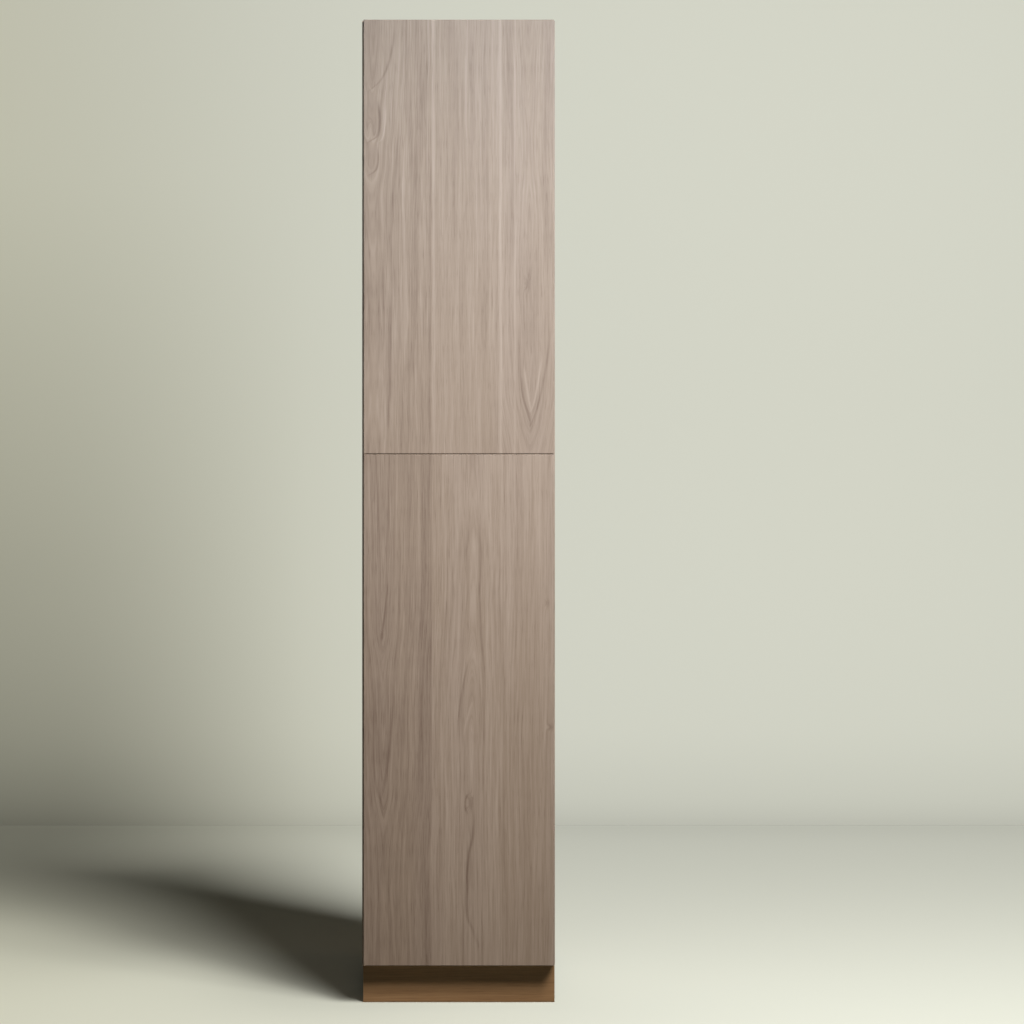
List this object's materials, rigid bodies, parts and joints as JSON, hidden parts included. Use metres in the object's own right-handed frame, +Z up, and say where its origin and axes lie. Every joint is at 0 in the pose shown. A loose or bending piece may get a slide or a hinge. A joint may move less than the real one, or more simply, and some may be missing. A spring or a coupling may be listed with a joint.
{
  "type": "broom cupboard",
  "caption": "Tall narrow broom cupboard with an upper and a lower slab door on concealed hinges, push latches, shelves above a tall broom space, screw feet and a recessed clip-on plinth.",
  "frame": {"origin": "on the floor under the middle of the whole cupboard's box", "axes": "+Z up, the doors face -Y, +X to the right as seen from the front"},
  "size_m": [0.4, 0.622, 2.045],
  "materials": {
    "door_decor": "greige walnut laminate, matt",
    "door_edge": "edge band in the door's colour",
    "carcass_decor": "greige walnut laminate outside, white melamine inside",
    "inner_melamine": "white melamine",
    "carcass_edge": "edge band in the boards' colour",
    "hardboard": "white-faced hardboard",
    "white_plastic": "white plastic",
    "plinth_decor": "warm brown wood foil",
    "zinc": "die-cast zinc",
    "steel": "zinc-plated steel",
    "spring_steel": "spring steel",
    "nickel": "nickel-plated steel",
    "beech": "plain beech",
    "leg_plastic": "black moulded plastic",
    "latch_plastic": "grey moulded plastic"
  },
  "bodies": {
    "carcass": {"adjustable_shelf": "inner_melamine", "back_joint_strip": "white_plastic", "bottom_panel": "carcass_decor", "broom_clip_screws": "steel", "broom_clips": "spring_steel", "broom_rail": "inner_melamine", "cam_bolts": "steel", "cam_locks": "zinc", "carcass_edge_bands": "carcass_edge", "dowels": "beech", "fixed_shelf": "inner_melamine", "hinge_arm_screws": "steel", "hinge_arms": "nickel", "hinge_plate_screws": "steel", "hinge_plates": "nickel", "latch_housing_screws": "steel", "latch_housings": "latch_plastic", "latch_springs": "spring_steel", "left_side_panel": "carcass_decor", "leg_columns": "leg_plastic", "leg_socket_screws": "steel", "leg_sockets": "leg_plastic", "lower_back_panel": "hardboard", "right_side_panel": "carcass_decor", "shelf_edge_band": "carcass_edge", "shelf_pins": "steel", "top_panel": "carcass_decor", "upper_back_panel": "hardboard", "wall_rail": "inner_melamine"},
    "upper_door": {"upper_door_edge_bands": "door_edge", "upper_door_panel": "door_decor", "upper_hinge_cup_screws": "steel", "upper_hinge_cups": "nickel", "upper_hinge_pins": "steel", "upper_strike_plate": "steel"},
    "lower_door": {"lower_door_edge_bands": "door_edge", "lower_door_panel": "door_decor", "lower_hinge_cup_screws": "steel", "lower_hinge_cups": "nickel", "lower_hinge_pins": "steel", "lower_strike_plate": "steel"},
    "upper_plunger": {"upper_latch_plunger": "latch_plastic"},
    "lower_plunger": {"lower_latch_plunger": "latch_plastic"},
    "plinth": {"plinth_board": "plinth_decor", "plinth_clips": "leg_plastic", "plinth_clip_screws": "steel"},
    "front_left_foot": {"front_left_foot": "leg_plastic"},
    "front_right_foot": {"front_right_foot": "leg_plastic"},
    "rear_left_foot": {"rear_left_foot": "leg_plastic"},
    "rear_right_foot": {"rear_right_foot": "leg_plastic"}
  },
  "joints": [
    {"name": "upper_door_hinge", "type": "hinge", "parent": "carcass", "child": "upper_door", "pos_m": [-0.1888, -0.303, 1.5945], "axis": [0, 0, -1], "range_deg": [0, 95]},
    {"name": "lower_door_hinge", "type": "hinge", "parent": "carcass", "child": "lower_door", "pos_m": [-0.1888, -0.303, 0.6155], "axis": [0, 0, -1], "range_deg": [0, 95]},
    {"name": "upper_latch_slide", "type": "slide", "parent": "carcass", "child": "upper_plunger", "axis": [0, -1, 0], "range_m": [0, 0.02]},
    {"name": "lower_latch_slide", "type": "slide", "parent": "carcass", "child": "lower_plunger", "axis": [0, -1, 0], "range_m": [0, 0.02]},
    {"name": "plinth_slide", "type": "slide", "parent": "carcass", "child": "plinth", "axis": [0, -1, 0], "range_m": [0, 0.12]},
    {"name": "front_left_foot_screw", "type": "slide", "parent": "carcass", "child": "front_left_foot", "axis": [0, 0, -1], "range_m": [0, 0.015]},
    {"name": "front_right_foot_screw", "type": "slide", "parent": "carcass", "child": "front_right_foot", "axis": [0, 0, -1], "range_m": [0, 0.015]},
    {"name": "rear_left_foot_screw", "type": "slide", "parent": "carcass", "child": "rear_left_foot", "axis": [0, 0, -1], "range_m": [0, 0.015]},
    {"name": "rear_right_foot_screw", "type": "slide", "parent": "carcass", "child": "rear_right_foot", "axis": [0, 0, -1], "range_m": [0, 0.015]}
  ],
  "couplings": [
    {"joint": "upper_latch_slide", "follows": "upper_door_hinge", "m_per_rad": 0.012062},
    {"joint": "lower_latch_slide", "follows": "lower_door_hinge", "m_per_rad": 0.012062}
  ]
}
